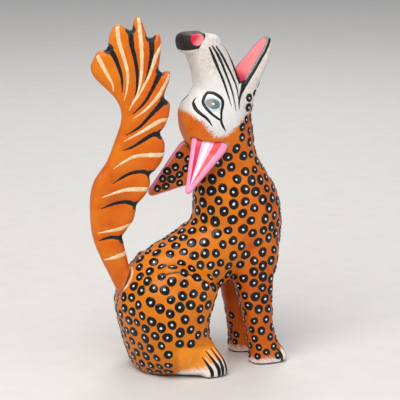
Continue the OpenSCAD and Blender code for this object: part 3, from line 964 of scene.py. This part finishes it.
def paint_dots(name, f, points, may_be, spacing, rng, size, body="figure", slot="painted_wood"):
    """Black dabs spread over the skin, with a white dab on each, as two pieces."""
    places, gap = spread(points, may_be, spacing, rng, f)
    black, white = Pile(), Pile()
    r = gap * size * rng.uniform(0.86, 1.08, len(places))
    dabs(black, f, places, r, 0.26, rng)
    c, n = f.on_skin(places)
    a, b = tangents(n)
    off, th = rng.uniform(0, 0.42, len(places)) * r * 0.5, rng.uniform(0, 6.28, len(places))
    at = c + (np.cos(th) * off)[:, None] * a + (np.sin(th) * off)[:, None] * b
    small = r * rng.uniform(0.19, 0.28, len(places))
    dabs(white, f, at, small, 0.12, rng, lift=0.22, sunk=-0.12, n=12, oval=0.1)
    black.build(name + "_dots", "black", body, slot)
    white.build(name + "_dot_lights", "white", body, slot)


# ---- The tail ---------------------------------------------------------------

# Strokes in the tail's own plane, from the outline inwards: [across, up]
CREAM_STROKES = [
    [(-11.5, 102), (-9.4, 97.5), (-6.8, 92.5), (-5.1, 89), (-4.9, 86)],
    [(-2.7, 114.5), (-2.3, 108.7), (-0.6, 102.5), (1.1, 96.3), (1.5, 92), (1.1, 87), (-0.1, 82)],
    [(6.6, 118), (7.4, 108.5), (7.8, 100), (7.3, 91.7), (5.9, 85.5), (1.9, 77.5)],
    [(16.6, 108.7), (12.6, 97.3), (8.1, 87.2), (2.8, 79)],
    [(20, 93), (15.5, 84.5), (9.8, 78.2), (4, 74)],
    [(20.5, 75.7), (11, 70), (-0.7, 63.7)],
    [(17.3, 57.3), (5.5, 57.2), (0, 55), (-5.4, 51.7)],
    [(10.1, 42), (0, 42), (-10.4, 39)],
    [(4.2, 28.2), (-1.7, 24.7), (-12.4, 22.8)],
    [(0, 13), (-9.8, 10.3)]]
BLACK_STROKES = [
    [(-6.7, 104.8), (-4.3, 101.7), (-2.4, 96.8), (-1.1, 92), (-0.9, 85.6)],
    [(3, 113), (3.4, 106.8), (4.9, 100), (5.7, 94), (5.5, 87.3), (4, 81)],
    [(11.8, 109.3), (12.2, 103.5), (11.3, 97.3), (9.9, 91.6), (7.2, 85)],
    [(16.1, 94.6), (14.3, 90.6), (11.6, 85.3), (8.5, 80.5), (3.6, 75.7)],
    [(17.8, 81.6), (14.7, 78.5), (11, 74.6), (6.7, 70.2), (0.5, 66.4)],
    [(16, 66.4), (12.4, 66.5), (8, 64), (3.5, 61.3), (-0.9, 59.7)],
    [(11.9, 48.4), (7.9, 50), (1.7, 49.2), (-5.5, 45)],
    [(5.3, 34.5), (0.7, 36.5), (-4.7, 36), (-11, 33.7)],
    [(-1, 19.6), (-6.2, 20.7), (-12, 19.3)]]


def tail_point(f, line, side):
    """A line of the tail's plane carried to its skin on one side."""
    line = np.asarray(line, float)
    start = TAIL_FRAME[0] + line[:, :1] * U_TAIL + line[:, 1:] * (0, 0, 1) + N_TAIL * side * 10
    return f.cast(start, -N_TAIL * side, 20)[0]


# The tail's outline in its own plane, as smooth stretches from tip or notch to the next, from
# below the seat up the rear edge and down the front
OUTLINE = [
    [(-3.2, -6), (-9.5, 7.5), (-14.2, 19), (-15.5, 32), (-14, 44), (-8, 53.5), (-4, 63), (-1.2, 72),
     (-1.6, 78.5), (-5, 84), (-12, 91), (-14.5, 96.5), (-11.3, 103.4)],
    [(-11.3, 103.4), (-8.5, 103.8), (-6.8, 105.2)],
    [(-6.8, 105.2), (-5.5, 111.5), (-2.7, 115.3), (0.5, 113.6), (3.8, 112.6)],
    [(3.8, 112.6), (5, 117), (6.7, 118.8), (8, 116.5), (10.6, 109.3)],
    [(10.6, 109.3), (13.2, 109.3)],
    [(13.2, 109.3), (15, 110.8), (16.5, 108), (16.2, 101), (15.6, 95.5), (17.2, 93.4)],
    [(17.2, 93.4), (20.6, 94.3)],
    [(20.6, 94.3), (20, 89.5), (18, 83.5), (20.6, 79.4)],
    [(20.6, 79.4), (20, 75), (18.3, 70.3), (16, 66.5)],
    [(16, 66.5), (17.8, 62), (17.2, 55.5), (14, 50.3), (11.3, 47.5)],
    [(11.3, 47.5), (11.2, 42.5), (9, 38.5), (6.3, 35.5), (5, 32.5), (4, 28), (1.5, 24.5), (-1, 20.8)],
    [(-1, 20.8), (-0.8, 18), (0, 13.5), (1.7, 7), (3, 4)],
    [(3, 4), (3, -6)]]


# Half the tail's thickness at heights over its root
TAIL_HEIGHTS, TAIL_HALVES = [0, 55, 80, 100, 118], [4.4, 4.3, 3.8, 3.2, 2.5]
EDGE_STEP = 0.25                # the outline's distances are worked out on a grid this fine


def bilinear(grid, a, b):
    """The values of a flat grid between its points, at places counted in grid steps."""
    a, b = np.clip(a, 0, grid.shape[0] - 1.001), np.clip(b, 0, grid.shape[1] - 1.001)
    i, j = a.astype(int), b.astype(int)
    a, b = a - i, b - j
    return (grid[i, j] * (1 - a) * (1 - b) + grid[i + 1, j] * a * (1 - b)
            + grid[i, j + 1] * (1 - a) * b + grid[i + 1, j + 1] * a * b)


def tail_board(q):
    """Distance to a board cut to the outline, its edges rounded, thinner towards the top."""
    across, up = np.arange(-18, 24, EDGE_STEP), np.arange(-8, 122, EDGE_STEP)
    rim = np.vstack([spline(stretch, 3 * len(stretch))[:-1] for stretch in OUTLINE])
    edge = -inside_by(rim, *np.meshgrid(across, up, indexing="ij"))
    side = bilinear(edge, (q[:, 0] + 18) / EDGE_STEP, (q[:, 2] + 8) / EDGE_STEP)
    half = np.interp(q[:, 2], TAIL_HEIGHTS, TAIL_HALVES)
    soft = np.minimum(3.4, half * 0.8)
    out, over = side + soft, np.abs(q[:, 1]) - half + soft
    return np.hypot(np.maximum(out, 0), np.maximum(over, 0)) - soft + np.minimum(np.maximum(out, over), 0)


def tail_grooves(flat):
    """Depth of the shallow V along each black stroke."""
    cut = np.zeros(len(flat))
    for line in BLACK_STROKES:
        path = spline(line, 24)
        d = np.min(np.hypot(flat[:, :1] - path[None, :, 0], flat[:, 1:] - path[None, :, 1]), axis=1)
        cut = np.maximum(cut, 0.55 * np.exp(-(d / 1.5) ** 2))
    return cut


def carve_tail():
    f = Field(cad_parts["tail"].data, 0.4, 5)
    x, y, z = f.grid()
    q = to_local(TAIL_FRAME, np.stack(np.broadcast_arrays(x, y, z), -1).reshape(-1, 3))
    f.s = f.blurred(tail_board(q).reshape(f.shape).astype(np.float32), 0.45)
    f.s += (0.10 * waves(x, y, z, 8, 5) + 0.03 * waves(x, y, z, 3, 6)).astype(np.float32)
    near = np.abs(f.s.ravel()) < 2.5
    s = f.s.ravel()
    s[near] += tail_grooves(q[near][:, [0, 2]]).astype(np.float32)
    f.s = s.reshape(f.shape)
    carve(f, SEAT, 20, square_cut(SEAT_HALF, -14, GAP / 2))
    carve(f, PEG, 16, round_hole(PEG_R + 0.05, -5, 10.2))
    return f


def make_tail():
    f = carve_tail()
    pts, quads = f.mesh()
    q, seat, peg = to_local(TAIL_FRAME, pts), to_local(SEAT, pts), to_local(PEG, pts)
    roots = [np.hypot(q[:, 0] - line[0][0], q[:, 2] - line[0][1]) for line in BLACK_STROKES]
    bore = (np.hypot(peg[:, 0], peg[:, 1]) < 2.5) & (peg[:, 2] < 10.5)
    ob = make("coyote_tail", pts, quads, "tail_unit", MAT["tail"], ["tail"])
    # cavity feeds the painted shade in hollows and the painted highlight on edges
    attributes(ob, cavity=-f.at(pts, f.blurred(f.s, 1.8)),
               notch=2.3 - np.min(roots, axis=0),
               # Painted shade towards the tail's front edge
               deep=ramp(2, 19, q[:, 0] + 0.16 * (70 - q[:, 2]) * (q[:, 2] < 70)),
               seat=np.where((seat[:, 2] < 0.35) | bore, 1, -1))
    cream, black = Pile(), Pile()
    for side in SIDES:
        for line in CREAM_STROKES:
            stroke(cream, f, tail_point(f, line, side), [1.9, 1.9, 1.7, 1.4, 0.9, 0.3], 0.14, ragged=0.10)
        for line in BLACK_STROKES:
            stroke(black, f, tail_point(f, line, side), [3.0, 2.3, 1.8, 1.5, 1.1, 0.3], 0.12, ragged=0.10)
    cream.build("tail_light_strokes", "cream", "tail_unit", "tail_paint")
    black.build("tail_dark_strokes", "soft_black", "tail_unit", "tail_paint")


# ---- The ears ---------------------------------------------------------------

BLADE = [(-3, 1, 1), (0, 1, 1), (5, 0.83, 0.97), (10, 0.65, 0.92), (15, 0.47, 0.84), (20, 0.29, 0.72),
         (23, 0.19, 0.6), (24.6, 0.08, 0.4)]
TIP = 24.6


def blade(z, e):
    """Half width and half thickness of an ear at distances z from its root."""
    t = spline(BLADE, 61)
    return np.interp(z, t[:, 0], t[:, 1]) * e["w"], np.interp(z, t[:, 0], t[:, 2]) * EAR_T


EAR_RINGS, EAR_POINTS = 44, 72
EAR_RIM = 1.5                   # width of the rounded rim round the dished front
TURN_IN = 1.8                   # how far the dots keep from an ear's edge


def ear_skin(e, seed):
    """An ear's points in its own frame, their smooth Y, the half width at each, and its rings."""
    z = np.concatenate([[-e["sunk"], -e["sunk"] + 0.15], np.linspace(-e["sunk"] + 0.8, TIP - 0.9, EAR_RINGS),
                        TIP - 0.9 + np.array([0.35, 0.6, 0.8, 0.9])])
    end = np.concatenate([[0.985, 1], np.ones(EAR_RINGS), [0.97, 0.88, 0.7, 0.3]])
    w, t = (v[:, None] * end[:, None] for v in blade(z, e))
    th = np.arange(EAR_POINTS) * 2 * math.pi / EAR_POINTS
    x, y = [half * np.sign(v) * np.abs(v) ** (2 / 3) for half, v in ((w, np.cos(th)), (t, np.sin(th)))]
    # The front is dished inside its rim
    inside = np.clip(1 - (x / np.maximum(w - EAR_RIM, 0.2)) ** 2, 0, 1)
    fade = (ramp(TIP - 1, TIP - 7, z) * ramp(1.5, 5, z))[:, None]
    y = np.where(y > 0, y - 0.8 * inside ** 0.7 * fade * (y / np.maximum(t, 0.1)), y)
    q = np.stack([x, y, np.broadcast_to(z[:, None], x.shape)], -1)
    q[..., 1] += 0.10 * waves(q[..., 0], q[..., 1], q[..., 2], 7, seed)
    return q.reshape(-1, 3), y.ravel(), np.repeat(w, EAR_POINTS), len(z)


def make_ear(name, e, seed):
    fr, body_name = e["fr"], e["body"]
    q, y, w, rings = ear_skin(e, seed)
    ob = make("ear_%s_blade" % name, to_world(fr, q), tube_faces(rings, EAR_POINTS), body_name,
              MAT["ear"], ["ear_" + name])
    x, z = q[:, 0], q[:, 2]
    edge = w - np.abs(x)
    attributes(ob, cavity=np.zeros(len(q)), front=np.where(y > 0, 1, -1),
               stripe=(x / np.maximum(w - 1.6, 0.3)) * np.where(w < 1.6, 3, 1),
               rim=np.where(y > -0.2, np.maximum(1.7 - edge, 1.2 - (TIP - z)), 0.9 - edge))
    # Dots on the back
    f = Field(ob.data, 0.3, 2.4)
    z, x = [v.ravel() for v in np.meshgrid(np.arange(1.5, 22, 0.4), np.arange(-e["w"], e["w"], 0.4),
                                           indexing="ij")]
    start = to_world(fr, np.stack([x, np.full(len(x), -3.0), z], 1))[np.abs(x) < blade(z, e)[0] - TURN_IN]

    def ok(p):
        l = to_local(fr, p)
        return (l[:, 1] < -0.5) & (np.abs(l[:, 0]) < blade(l[:, 2], e)[0] - TURN_IN) & (l[:, 2] > 0.8)

    def gap(p):
        return 4.15 - 0.5 * ramp(10, 20, to_local(fr, p)[:, 2])
    paint_dots("ear_" + name, f, f.on_skin(start)[0], ok, gap, np.random.default_rng(seed), 0.48,
               body_name, "ear_paint")


def seam(f):
    """The pale filler round the tail's seat."""
    ring = []
    for a in np.arange(20) * math.pi / 10:
        u, v = 5.7 * math.cos(a), 4.7 * math.sin(a)
        ring.append(SEAT[0] + v * N_TAIL + u * unit(np.cross(N_TAIL, SEAT[1][2])) - 1.0 * SEAT[1][2])
    pile = Pile()
    stroke(pile, f, ring, [1.3, 1.6, 1.1, 1.5, 1.2, 1.3], 0.12, closed=True, ragged=0.35, seed=5)
    pile.build("tail_seam_filler", "filler")


def make_body():
    f = carve_body()
    pts, quads = f.mesh()
    ob = make("coyote_body", pts, quads, "figure", MAT["body"], ["body"])
    attributes(ob, **body_masks(f, pts))
    paint_head(f)
    paint_feet(f)
    ok = may_dot(f)
    paint_dots("body", f, pts[ok(pts)], ok, dot_gap, np.random.default_rng(11), 0.445)
    seam(f)


make_body()
make_tail()
for k, (name, e) in enumerate(EARS.items()):
    make_ear(name, e, 21 + k)
for name in ("tail_peg", "ear_peg_right", "ear_peg_left"):
    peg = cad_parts[name].data
    if len(peg.materials) == 0:
        peg.materials.append(MAT["wood"])
    for k in range(len(peg.materials)):
        peg.materials[k] = MAT["wood"]


# ---- Camera, light and floor ------------------------------------------------

CAMERA = dict(target=(6.0, 0, 76), azimuth=-26, elevation=13.5, distance=1000)
LENS, SENSOR = 200, 36
# Name, azimuth, elevation, distance, width in metres, watts and tint
LIGHTS = [("key", -50, 50, 900, 0.75, 8, (1.0, 0.97, 0.93)),
          ("fill", 30, 20, 1000, 0.9, 2.2, (0.97, 0.98, 1.0)),
          ("rim", 150, 45, 900, 0.5, 3, (1.0, 0.96, 0.90))]
LIT_POINT = (5, 0, 80)
SKY_TINT, SKY_STRENGTH = (0.95, 0.97, 1.0, 1), 0.42
FLOOR_HALF = 9                  # metres


def aim(data, target, azimuth, elevation, distance):
    """An object of a camera or light, looking at a point of the coyote from around it."""
    a, e = math.radians(azimuth), math.radians(elevation)
    back = np.array([math.sin(a) * math.cos(e), -math.cos(a) * math.cos(e), math.sin(e)])
    ob = bpy.data.objects.new(data.name, data)
    ob.location = (np.array(target) + back * distance) * MM
    ob.rotation_mode = "QUATERNION"
    ob.rotation_quaternion = Vector(-back).to_track_quat("-Z", "Y")
    bpy.context.scene.collection.objects.link(ob)
    return ob


def studio():
    scene = bpy.context.scene
    cam = bpy.data.cameras.new("camera")
    cam.lens, cam.sensor_width = LENS, SENSOR
    cam.clip_start, cam.clip_end = 0.05, 20
    scene.camera = aim(cam, **CAMERA)
    for name, azimuth, elevation, distance, width, watts, tint in LIGHTS:
        light = bpy.data.lights.new(name, "AREA")
        light.shape, light.size, light.energy, light.color = "DISK", width, watts, tint
        aim(light, LIT_POINT, azimuth, elevation, distance).visible_camera = False
    world = bpy.data.worlds.new("studio")
    world.use_nodes = True
    sky = world.node_tree.nodes["Background"].inputs
    sky["Color"].default_value, sky["Strength"].default_value = SKY_TINT, SKY_STRENGTH
    scene.world = world
    scene.view_settings.view_transform = "Standard"


def floor():
    m = Nodes("pale_floor")
    grain = m.noise(90, 5, 0.6)
    col = m.mix(grain, (0.62, 0.61, 0.60), (0.70, 0.69, 0.68))
    m.finish(col, 0.85, m.bump(grain, 0.05, 0.3), 0.2)
    me = bpy.data.meshes.new("floor")
    h = FLOOR_HALF
    me.from_pydata([(-h, -h, 0), (h, -h, 0), (h, h, 0), (-h, h, 0)], [], [(0, 1, 2, 3)])
    me.materials.append(m.mat)
    ob = bpy.data.objects.new("floor", me)
    ob.location.z = -0.00005
    bpy.context.scene.collection.objects.link(ob)


studio()
floor()
